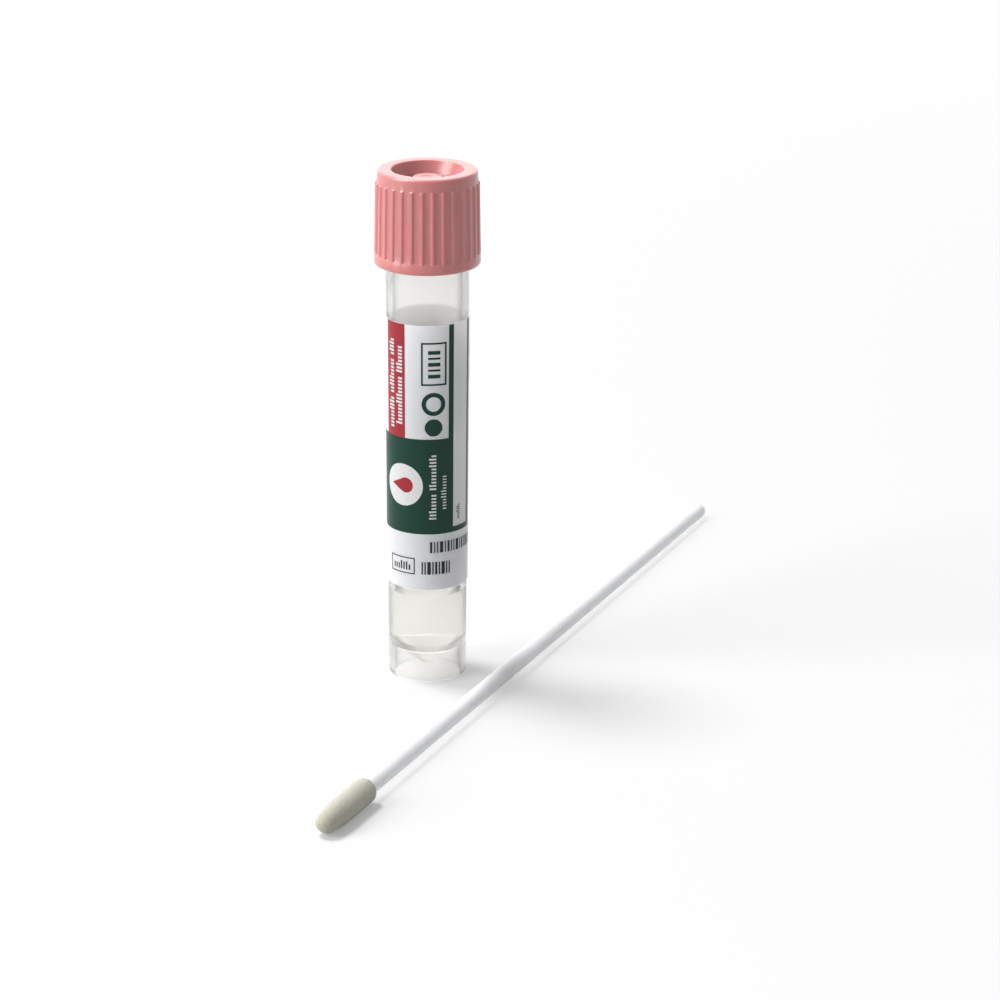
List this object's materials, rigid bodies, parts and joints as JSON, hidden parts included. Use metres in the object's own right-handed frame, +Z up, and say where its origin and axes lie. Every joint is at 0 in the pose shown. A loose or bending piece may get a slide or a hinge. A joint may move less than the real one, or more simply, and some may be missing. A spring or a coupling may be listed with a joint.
{
  "type": "specimen swab tube",
  "caption": "Self-standing specimen tube with a ribbed screw cap, a wrap-around label and liquid medium, and a foam-tipped collection swab lying beside it.",
  "frame": {"origin": "middle of the ring that the tube stands on", "axes": "+Z up along the tube's axis, with the label's printed front facing -Y and the swab lying in front of the tube"},
  "size_m": [0.0826, 0.1835, 0.1033],
  "materials": {
    "tube": "translucent, slightly milky",
    "cap": "satin",
    "seal_ring": "smooth",
    "label": "coated",
    "print_green": "printed, coated",
    "print_red": "printed, coated",
    "medium": "clear liquid",
    "swab_shaft": "smooth, slightly translucent",
    "swab_bud": "fine open-cell foam"
  },
  "bodies": {
    "tube": {"tube": "tube", "label": "label", "print_green": "print_green", "print_red": "print_red", "medium": "medium", "swab_shaft": "swab_shaft", "swab_bud": "swab_bud"},
    "seal": {"seal_ring": "seal_ring"},
    "cap": {"cap": "cap"}
  },
  "joints": [
    {"name": "cap_lift", "type": "slide", "parent": "tube", "child": "seal", "axis": [0, 0, 1], "range_m": [0, 0.0211]},
    {"name": "cap_turn", "type": "hinge", "parent": "seal", "child": "cap", "pos_m": [0, 0, 0.1], "axis": [0, 0, 1], "range_deg": [0, 2520]}
  ],
  "couplings": [
    {"joint": "cap_lift", "follows": "cap_turn", "m_per_rad": 0.00047746}
  ]
}
